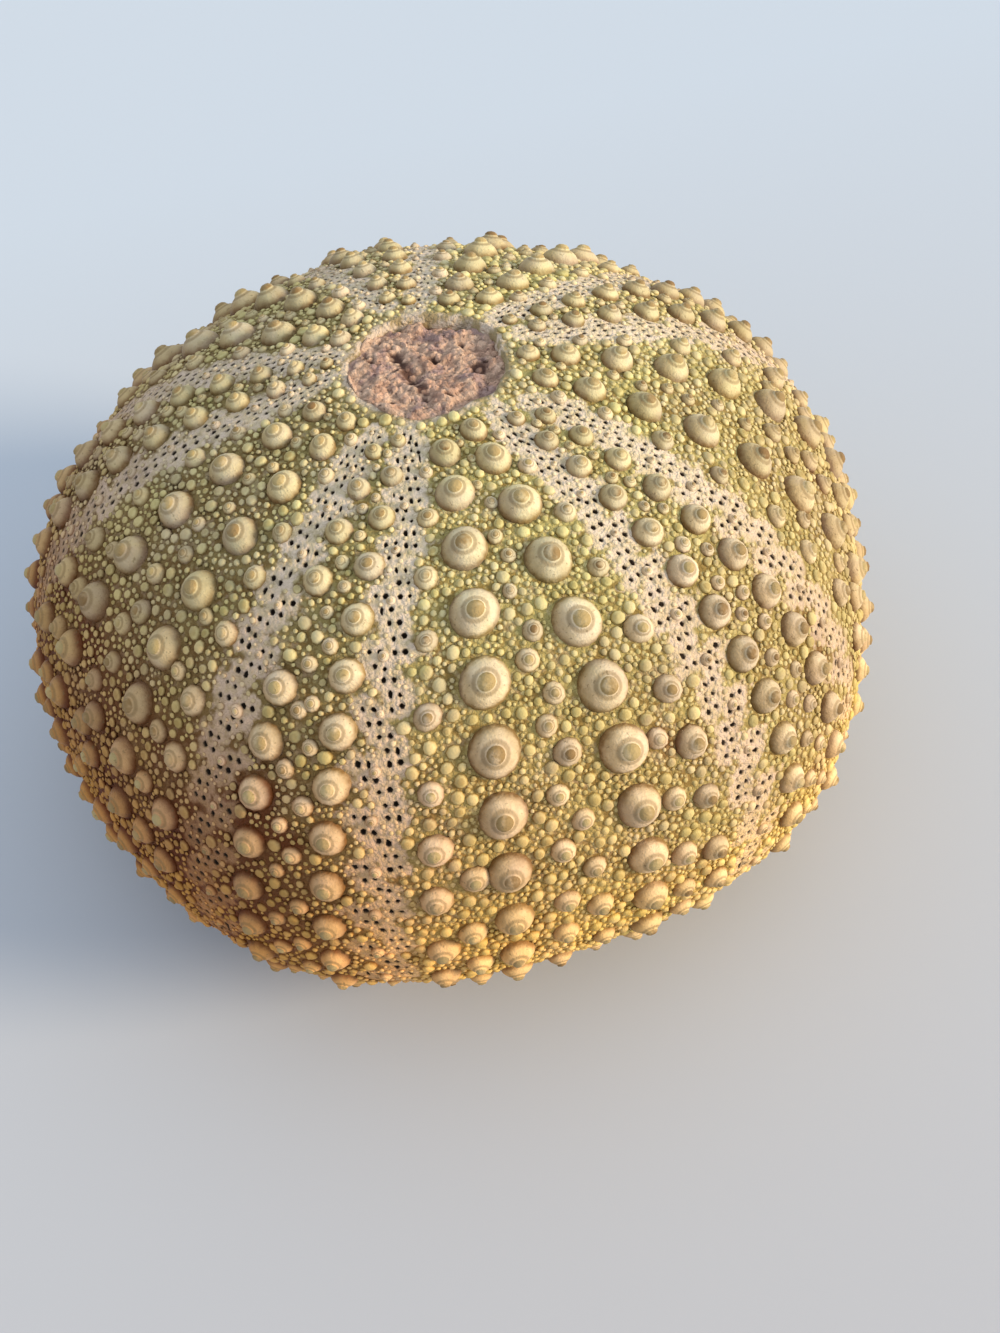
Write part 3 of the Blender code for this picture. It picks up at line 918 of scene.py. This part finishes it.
def build_wall(shape, colours):
    """The wall as a grid that closes both ways: outer face, mouth lip, inner face, crown lip.

    The outer face follows the profile, with shallow lumps, a hollow ring round each main
    tubercle and a hollow at each pore, painted dark inside as shade.
    """
    upper = np.linspace(CROWN_RIM, GIRTH, UPPER_ROWS, endpoint=False)
    lower = np.linspace(GIRTH, MOUTH_RIM, LOWER_ROWS)
    rows = np.concatenate([upper, lower])
    angles = wall_columns(rows)
    lengths = rows[:, None] + edge_wave(angles, rows[:, None])
    in_zone = pore_ground(lengths, angles, shape.seed)
    points = turned(*along_wall(lengths), angles)
    depth = LUMP_HEIGHT * ripple(points, LUMP_SIZE, shape.seed) * (1 - 0.6 * in_zone)
    mains = all_mains()
    flat = np.stack([lengths.ravel(), angles.ravel()])
    dip = np.zeros(flat.shape[1])
    for piece in batches(flat.shape[1]):
        away = (apart(flat[:, piece], mains) - mains[2] / 2) / RING_WIDTH
        dip[piece] = np.exp(-away ** 2).max(1)
    depth -= RING_DEPTH * dip.reshape(depth.shape)
    pore_shade = np.zeros_like(depth)
    push_pores(lengths, angles, depth, pore_shade, shape.seed)
    outer = turned(*along_wall(lengths, depth), angles)

    lip = np.linspace(0, 1, 5)[1:-1]
    bulge = LIP_BULGE * np.sin(lip * math.pi)
    throat = turned(CROWN_OPENING, WALL * 2 * lip[:, None], angles[:1])
    rough = LIP_ROUGHNESS * ripple(throat, 0.9 * MM, 8)
    mouth = turned(*along_wall(MOUTH_RIM + bulge[:, None], -WALL * lip[:, None]), angles[-1:])
    back = np.linspace(MOUTH_RIM, CROWN_RIM, INNER_ROWS)
    inner = turned(*along_wall(back[:, None], -WALL), wall_columns(back))
    rounded = lengths[:1] - bulge[:, None] + rough
    crown = turned(*along_wall(rounded, -WALL * lip[::-1, None]), angles[:1])
    points = in_plan(np.concatenate([outer, mouth, inner, crown]))
    points[..., 2] = np.maximum(points[..., 2], 0)
    mesh = closed_grid("shell_wall", points)
    bare = np.exp(-((rows - CROWN_RIM) / (0.45 * MM)) ** 2)[:, None] + np.zeros_like(pore_shade)
    hidden = np.ones((len(points) - len(rows), pore_shade.shape[1]))
    # The pore mask is painted shade in the pores; pore_zone and rim are the stone's own colours.
    for kind, outside, inside in (("pore_shade", pore_shade, 0), ("pore_zone", in_zone, 0), ("rim", bare, 1)):
        paint(mesh, kind, np.concatenate([outside, inside * hidden]))
    add_piece(mesh, wall_material(colours), "urchin_shell")


# ------------------------------------------------------------------------- the tubercles

# Outlines from foot to top: (share of the half width, share of the height).
BOSS_OUTLINE = (
    (1.10, -0.25), (1.01, 0.06), (0.93, 0.24), (0.81, 0.41), (0.67, 0.535), (0.54, 0.63),
    (0.43, 0.68), (0.375, 0.75), (0.34, 0.85), (0.21, 0.96),
)
SMALL_OUTLINE = (
    (1.08, -0.15), (0.97, 0.20), (0.79, 0.45), (0.56, 0.64), (0.39, 0.74), (0.32, 0.91),
)
BEAD_OUTLINE = ((1.08, -0.20), (0.88, 0.45), (0.48, 0.87))
GRANULE_OUTLINE = ((1.06, -0.20), (0.66, 0.72))


def scatter(standing, widest, narrowest, per_area, gap, seed, turn, in_zone):
    """Random granules that touch nothing standing already and keep a gap to each other.

    Places are drawn evenly over the wall in blocks a fifth wide and 2.5 mm high, widest
    granules first. A place is kept once no wider place that it touches is kept. The share
    in_zone of the places next to pores is tried, and no granule covers a pore.
    """
    rng = np.random.default_rng([seed, turn])
    bands = np.linspace(CROWN_RIM + 0.35 * MM, MOUTH_RIM - 0.35 * MM, 26)
    kept = standing
    for low, high in zip(bands[:-1], bands[1:]):
        span = np.linspace(low, high, 20)
        weight = np.cumsum(along_wall(span)[0])
        area = along_wall((low + high) / 2)[0] * ZONE_STEP * (high - low)
        near = kept[:, np.abs(kept[0] - (low + high) / 2) < NEARBY]
        for fifth in range(5):
            tries = int(per_area * area / MM ** 2)
            lengths = np.interp(rng.uniform(weight[0], weight[-1], tries), weight, span)
            angles = (fifth + rng.uniform(0, 1, tries)) * ZONE_STEP
            widths = np.sort(narrowest + (widest - narrowest) * rng.uniform(0, 1, tries) ** 2)[::-1]
            trial = np.stack([lengths, angles, widths])
            found = np.concatenate([pores(fifth, -1, seed), pores(fifth, 1, seed)], 1)
            found = found[:, np.abs(found[0] - (low + high) / 2) < NEARBY]
            clear = apart(trial, found).min(1, initial=1) > PORE_CLEARANCE
            clear |= rng.uniform(0, 1, tries) < in_zone
            open_pores = np.stack([found[0], found[1], (found[2] + RIM_CLEARANCE) * 2])
            trial = trial[:, clear & ~touches(trial, open_pores).any(1)]
            aside = (near[1] - (fifth + 0.5) * ZONE_STEP + math.pi) % TAU - math.pi
            beside = near[:, np.abs(aside) < ZONE_STEP / 2 + 2 * MM / along_wall(low)[0]]
            grown = trial + [[0], [0], [2 * gap]]
            free = ~touches(grown, beside, 0.97).any(1)
            trial = trial[:, free]
            clash = np.tril(touches(grown[:, free], trial), -1)
            undecided = np.ones(trial.shape[1], bool)
            taken = np.zeros(trial.shape[1], bool)
            while undecided.any():
                first = undecided & ~clash[:, undecided].any(1)
                taken |= first
                undecided &= ~first & ~clash[:, first].any(1)
            kept = np.concatenate([kept, trial[:, taken]], 1)
            near = np.concatenate([near, trial[:, taken]], 1)
    return kept[:, standing.shape[1]:]


def build_main_tubercles(shape, colours):
    """The large bosses with their knobs, in the fields and along the rays."""
    rng = np.random.default_rng(shape.seed + 1)
    stone = boss_material(colours)
    for name, in_field, sides in (("field_tubercles", True, 16), ("ray_tubercles", False, 12)):
        places = main_tubercles(in_field)
        mesh = domes(name, places, BOSS_OUTLINE, sides, rng, shape.boss_height,
                     np.zeros(places.shape[1]), wobble=0.018, lean=0.012)
        add_piece(mesh, stone)


def build_small_tubercles(shape):
    """The middling bosses beside the main ones, of the same stone."""
    rng = np.random.default_rng(shape.seed + 2)
    places = small_tubercles(shape.seed)
    mesh = domes("small_tubercles", places, SMALL_OUTLINE, 10, rng, shape.boss_height,
                 pore_ground(places[0], places[1], shape.seed), wobble=0.03, lean=0.02)
    add_piece(mesh, bpy.data.materials["tubercle stone"])


def build_granules(shape, colours):
    """The beads and granules that fill the ground between the tubercles."""
    rng = np.random.default_rng(shape.seed + 3)
    mains = all_mains()
    mains[2] *= MAIN_MARGIN
    standing = np.concatenate([mains, small_tubercles(shape.seed)], 1)
    found = []
    for turn, (widest, narrowest, per_area, in_zone) in enumerate(GRANULE_SIZES):
        found.append(scatter(standing, widest, narrowest, per_area or shape.granule_tries,
                             shape.granule_gap, shape.seed, turn, in_zone))
        standing = np.concatenate([standing, found[-1]], 1)
    beads, fine = found[0], np.concatenate(found[1:], 1)
    stone = granule_material(colours)
    above = fine[0] < GIRTH
    for name, places, outline, sides in (("beads", beads, BEAD_OUTLINE, 8),
                                         ("upper_granules", fine[:, above], GRANULE_OUTLINE, 6),
                                         ("lower_granules", fine[:, ~above], GRANULE_OUTLINE, 6)):
        mesh = domes(name, places, outline, sides, rng, shape.granule_height,
                     pore_ground(places[0], places[1], shape.seed), wobble=0.06, lean=0.05)
        add_piece(mesh, stone)


# -------------------------------------------------------------------------- the sediment

def grain_relief(across, radius, seed, count, size):
    """Heights of packed round grains on a disc: the highest of many half-sunk balls."""
    rng = np.random.default_rng(seed)
    spread = radius * np.sqrt(rng.uniform(0, 1, count))
    turn = rng.uniform(0, TAU, count)
    centres = np.stack([spread * np.sin(turn), -spread * np.cos(turn)], -1)
    sizes = size * rng.uniform(0.5, 1.3, count)
    sunk = rng.uniform(0.1, 0.75, count) * sizes
    height = np.zeros(len(across))
    for piece in batches(len(across), 4000):
        gap = ((across[piece, None] - centres[None]) ** 2).sum(-1)
        ball = np.sqrt(np.maximum(sizes ** 2 - gap, 0)) - sunk
        height[piece] = np.maximum(ball.max(1), 0)
    return height


def pits(across, centres):
    """Depth of round pits: each (x, y, radius, depth) is a bowl with a soft edge."""
    depth = np.zeros(len(across))
    for x, y, radius, deep in centres:
        gap = np.hypot(across[:, 0] - x, across[:, 1] - y) / radius
        depth = np.maximum(depth, deep * (1 - smooth_step(gap)))
    return depth


# Hollows in the crown's sediment: x, y, radius and depth.
CROWN_PITS = (
    (0.58 * MM, 0.62 * MM, 0.50 * MM, 0.55 * MM), (3.04 * MM, -0.90 * MM, 0.80 * MM, 0.45 * MM),
    (3.7 * MM, -0.3 * MM, 0.60 * MM, 0.40 * MM), (-3.03 * MM, 1.56 * MM, 0.45 * MM, 0.40 * MM),
    (-3.4 * MM, 1.9 * MM, 0.25 * MM, 0.4 * MM), (-2.91 * MM, -2.31 * MM, 0.35 * MM, 0.4 * MM),
    (0.50 * MM, -3.18 * MM, 0.40 * MM, 0.4 * MM), (1.15 * MM, 4.2 * MM, 0.40 * MM, 0.5 * MM),
    (-0.80 * MM, 4.5 * MM, 0.40 * MM, 0.5 * MM), (-2.2 * MM, 3.6 * MM, 0.35 * MM, 0.4 * MM),
    (2.6 * MM, 1.6 * MM, 0.35 * MM, 0.4 * MM), (-1.9 * MM, 0.5 * MM, 0.45 * MM, 0.25 * MM),
)
# A ridge across the crown's sediment with a valley on its left: ends, half width and height.
RIDGE = ((-0.9 * MM, 3.1 * MM), (0.1 * MM, 0.2 * MM), 0.55 * MM, 0.32 * MM)
VALLEY = ((-1.7 * MM, 2.4 * MM), (-0.7 * MM, -2.6 * MM), 0.60 * MM, 0.28 * MM)


def soft_ridge(across, start, end, half_width, height):
    """A soft ridge: its height on the straight line between two points, 0 at its half width."""
    way = np.subtract(end, start)
    share = np.clip(((across - start) @ way) / (way @ way), 0, 1)
    gap = np.linalg.norm(across - (start + share[:, None] * way), axis=1)
    return height * (1 - smooth_step(gap / half_width))


# How far the sediment's faces lie inside the openings, and how far its edges stand off the wall's.
CROWN_SUNK = 0.42 * MM
MOUTH_SUNK = 1.0 * MM
CROWN_CLEARANCE = 0.06 * MM
MOUTH_CLEARANCE = 0.12 * MM
# The crown face lies lower by this much at its edge, towards these shares of +X and +Y.
CROWN_TILT = 0.34 * MM
TILT_WAY = np.array([0.80, 0.60])
# How finely the faces are cut: rings of each face, and cells round every ring.
CROWN_RINGS = 55
MOUTH_RINGS = 61
RING_CELLS = 300


def build_sediment(shape, colours):
    """The sediment: rings from the middle of the crown face, down the side, to the mouth face.

    Both faces carry packed grains, broad lumps and pits. The crown face lies lower towards
    the right and the back, and its edge follows the crown's.
    """
    side = np.linspace(CROWN_RIM, MOUTH_RIM, 9)
    radius, height = along_wall(side, -(WALL + GAP))
    mouth_throat = min(radius[-1], MOUTH_OPENING) - MOUTH_CLEARANCE
    top, bottom = height[0] + WALL + GAP - CROWN_SUNK, height[-1] - WALL - GAP + MOUTH_SUNK
    angles = TAU * np.arange(RING_CELLS) / RING_CELLS
    edge = along_wall(CROWN_RIM + edge_wave(angles, CROWN_RIM))[0] - CROWN_CLEARANCE
    crown_rings = np.linspace(0, 1, CROWN_RINGS + 1)[1:, None] * edge
    mouth_rings = np.linspace(1, 0, MOUTH_RINGS + 1)[:-1] * mouth_throat
    plain = np.concatenate([radius[1:-1], [mouth_throat], mouth_rings])
    radii = np.concatenate([crown_rings, edge[None] * 0.995, np.repeat(plain[:, None], RING_CELLS, 1)])
    levels = np.concatenate([np.full(CROWN_RINGS, top), height, np.full(MOUTH_RINGS, bottom)])
    points = turned(radii, levels[:, None], angles[None])
    rise = np.full(points.shape[:2], 0.5)
    for rows, sign, seed, count, reach, size in (
            (slice(0, CROWN_RINGS), 1, 21, 900, CROWN_OPENING, 0.22 * MM),
            (slice(-MOUTH_RINGS, None), -1, 22, 1500, mouth_throat, 0.32 * MM)):
        flat = points[rows][..., :2].reshape(-1, 2)
        grains = grain_relief(flat, reach, seed, count, size)
        broad = ripple(np.c_[flat, np.zeros(len(flat))], 2.2 * MM, seed) * shape.sediment_relief
        lift, hollow = grains + broad, np.zeros(len(flat))
        if sign > 0:
            hollow = pits(flat, CROWN_PITS) + soft_ridge(flat, *VALLEY)
            lift += soft_ridge(flat, *RIDGE) - hollow
            lift -= CROWN_TILT * (flat @ TILT_WAY) / CROWN_OPENING
        points[rows][..., 2] += (lift * sign).reshape(-1, RING_CELLS)
        # The low places and pits get a low rise, for painted shade in the sediment.
        rise[rows] = (0.42 + grains / (0.50 * MM) - hollow / (0.9 * MM)).reshape(-1, RING_CELLS)
    points = in_plan(points)
    mesh = capped_grid("sediment", points, points[0].mean(0), points[-1].mean(0))
    paint(mesh, "rise", np.append(rise.ravel(), [0.5, 0.5]))
    add_piece(mesh, sediment_material(colours), "sediment_fill")


# ----------------------------------------------------------------------------- the stage

# Half the side of the floor, and how far it lies below the shell's lowest point.
FLOOR_HALF = 8.0
FLOOR_DROP = 0.02 * MM


def build_floor(colours):
    """A plain square floor under the shell, lighter and bluer towards the back as painted light."""
    nodes = Nodes("floor")
    # Painted light: the floor grows lighter and bluer towards the back.
    far = nodes.add("MapRange", "Result", {
        "Value": nodes.parts()["Y"], "From Min": -60 * MM, "From Max": 80 * MM})
    nodes.finish(nodes.mix(far, colours.floor, srgb(201, 216, 234)), 0.85, 0.2)
    corners = [(x * FLOOR_HALF, y * FLOOR_HALF, -FLOOR_DROP)
               for x, y in ((-1, -1), (1, -1), (1, 1), (-1, 1))]
    mesh = bpy.data.meshes.new("floor")
    mesh.from_pydata(corners, [], [(0, 1, 2, 3)])
    mesh.materials.append(nodes.material)
    put("floor", mesh)


def add_key_light(way, spread, strength, colour):
    """A wide soft sun shining from this direction."""
    light = bpy.data.lights.new("key", "SUN")
    light.angle = spread
    light.energy = strength
    light.color = colour
    put("key", light).rotation_euler = Vector(way).to_track_quat("Z", "Y").to_euler()


def build_camera(stage):
    """The camera: its right, up and back directions, then the roll and the framing step."""
    up_tilt, turn, roll = stage.view_height, stage.view_turn, stage.view_roll
    right = Vector((math.cos(turn), -math.sin(turn), 0))
    away = Vector((math.sin(turn), math.cos(turn), 0))
    up = away * math.sin(up_tilt) + Vector((0, 0, math.cos(up_tilt)))
    back = -away * math.cos(up_tilt) + Vector((0, 0, math.sin(up_tilt)))
    rolled_right = right * math.cos(roll) - up * math.sin(roll)
    rolled_up = right * math.sin(roll) + up * math.cos(roll)
    middle = Vector((0, 0, GIRTH_HEIGHT - BASE_DEPTH + (BASE_DEPTH + CROWN_RISE) / 2))
    place = middle + back * stage.view_distance
    place += rolled_right * stage.view_shift[0] + rolled_up * stage.view_shift[1]
    data = bpy.data.cameras.new("camera")
    data.sensor_width = 36
    data.lens = stage.lens
    data.clip_start = 0.01
    camera = put("camera", data)
    axes = Matrix((rolled_right, rolled_up, back)).transposed().to_4x4()
    camera.matrix_world = Matrix.Translation(place) @ axes
    bpy.context.scene.camera = camera


def build_stage(stage, colours):
    """The floor, the key light, an even sky and the camera."""
    build_floor(colours)
    high, side = stage.key_height, stage.key_side
    way = (math.cos(side) * math.cos(high), -math.sin(side) * math.cos(high), math.sin(high))
    add_key_light(way, stage.key_spread, stage.key_strength, tuple(stage.key_colour))
    world = bpy.data.worlds.new("sky")
    world.use_nodes = True
    background = world.node_tree.nodes["Background"]
    background.inputs["Color"].default_value = (*stage.sky_colour, 1)
    background.inputs["Strength"].default_value = stage.sky_strength
    scene = bpy.context.scene
    scene.world = world
    scene.view_settings.view_transform = "Standard"
    build_camera(stage)


# ----------------------------------------------------------------- operators and panel

class URCHIN_OT_wall(bpy.types.Operator):
    """Build the pored wall of the shell"""
    bl_idname = "urchin.wall"
    bl_label = "Shell Wall"

    def execute(self, context):
        build_wall(context.scene.urchin_shape, context.scene.urchin_colours)
        return {"FINISHED"}


class URCHIN_OT_main_tubercles(bpy.types.Operator):
    """Build the main tubercles of the fields and of the rays"""
    bl_idname = "urchin.main_tubercles"
    bl_label = "Main Tubercles"

    def execute(self, context):
        build_main_tubercles(context.scene.urchin_shape, context.scene.urchin_colours)
        return {"FINISHED"}


class URCHIN_OT_small_tubercles(bpy.types.Operator):
    """Build the smaller tubercles, one to a plate"""
    bl_idname = "urchin.small_tubercles"
    bl_label = "Small Tubercles"

    def execute(self, context):
        build_small_tubercles(context.scene.urchin_shape)
        return {"FINISHED"}


class URCHIN_OT_granules(bpy.types.Operator):
    """Build the beads and granules between the tubercles"""
    bl_idname = "urchin.granules"
    bl_label = "Granules"

    def execute(self, context):
        build_granules(context.scene.urchin_shape, context.scene.urchin_colours)
        return {"FINISHED"}


class URCHIN_OT_sediment(bpy.types.Operator):
    """Build the sediment that shows in the crown and the mouth"""
    bl_idname = "urchin.sediment"
    bl_label = "Sediment"

    def execute(self, context):
        build_sediment(context.scene.urchin_shape, context.scene.urchin_colours)
        return {"FINISHED"}


class URCHIN_OT_stage(bpy.types.Operator):
    """Build the floor, the lights and the camera"""
    bl_idname = "urchin.stage"
    bl_label = "Stage"

    def execute(self, context):
        build_stage(context.scene.urchin_stage, context.scene.urchin_colours)
        return {"FINISHED"}


OPERATORS = (
    URCHIN_OT_stage, URCHIN_OT_wall, URCHIN_OT_main_tubercles, URCHIN_OT_small_tubercles,
    URCHIN_OT_granules, URCHIN_OT_sediment,
)


class URCHIN_PT_panel(bpy.types.Panel):
    """The urchin's pieces and settings in the 3D view's sidebar"""
    bl_label = "Fossil Sea Urchin"
    bl_idname = "URCHIN_PT_panel"
    bl_space_type = "VIEW_3D"
    bl_region_type = "UI"
    bl_category = "Urchin"

    def draw(self, context):
        for operator in OPERATORS:
            self.layout.operator(operator.bl_idname)
        scene = context.scene
        for group in (scene.urchin_shape, scene.urchin_colours, scene.urchin_stage):
            box = self.layout.box()
            for name in group.bl_rna.properties.keys():
                if name not in {"rna_type", "name"}:
                    box.prop(group, name)


CLASSES = (UrchinShape, UrchinColours, UrchinStage, *OPERATORS, URCHIN_PT_panel)


def register():
    """Registers every class, and hangs the three groups of settings on the scene."""
    for item in CLASSES:
        bpy.utils.register_class(item)
    bpy.types.Scene.urchin_shape = PointerProperty(type=UrchinShape)
    bpy.types.Scene.urchin_colours = PointerProperty(type=UrchinColours)
    bpy.types.Scene.urchin_stage = PointerProperty(type=UrchinStage)


def unregister():
    """Takes the settings off the scene, and the classes back in reverse order."""
    del bpy.types.Scene.urchin_shape
    del bpy.types.Scene.urchin_colours
    del bpy.types.Scene.urchin_stage
    for item in reversed(CLASSES):
        bpy.utils.unregister_class(item)


def main():
    """Builds the stage and every piece."""
    register()
    bpy.ops.urchin.stage()
    bpy.ops.urchin.wall()
    bpy.ops.urchin.main_tubercles()
    bpy.ops.urchin.small_tubercles()
    bpy.ops.urchin.granules()
    bpy.ops.urchin.sediment()


if __name__ == "__main__":
    main()
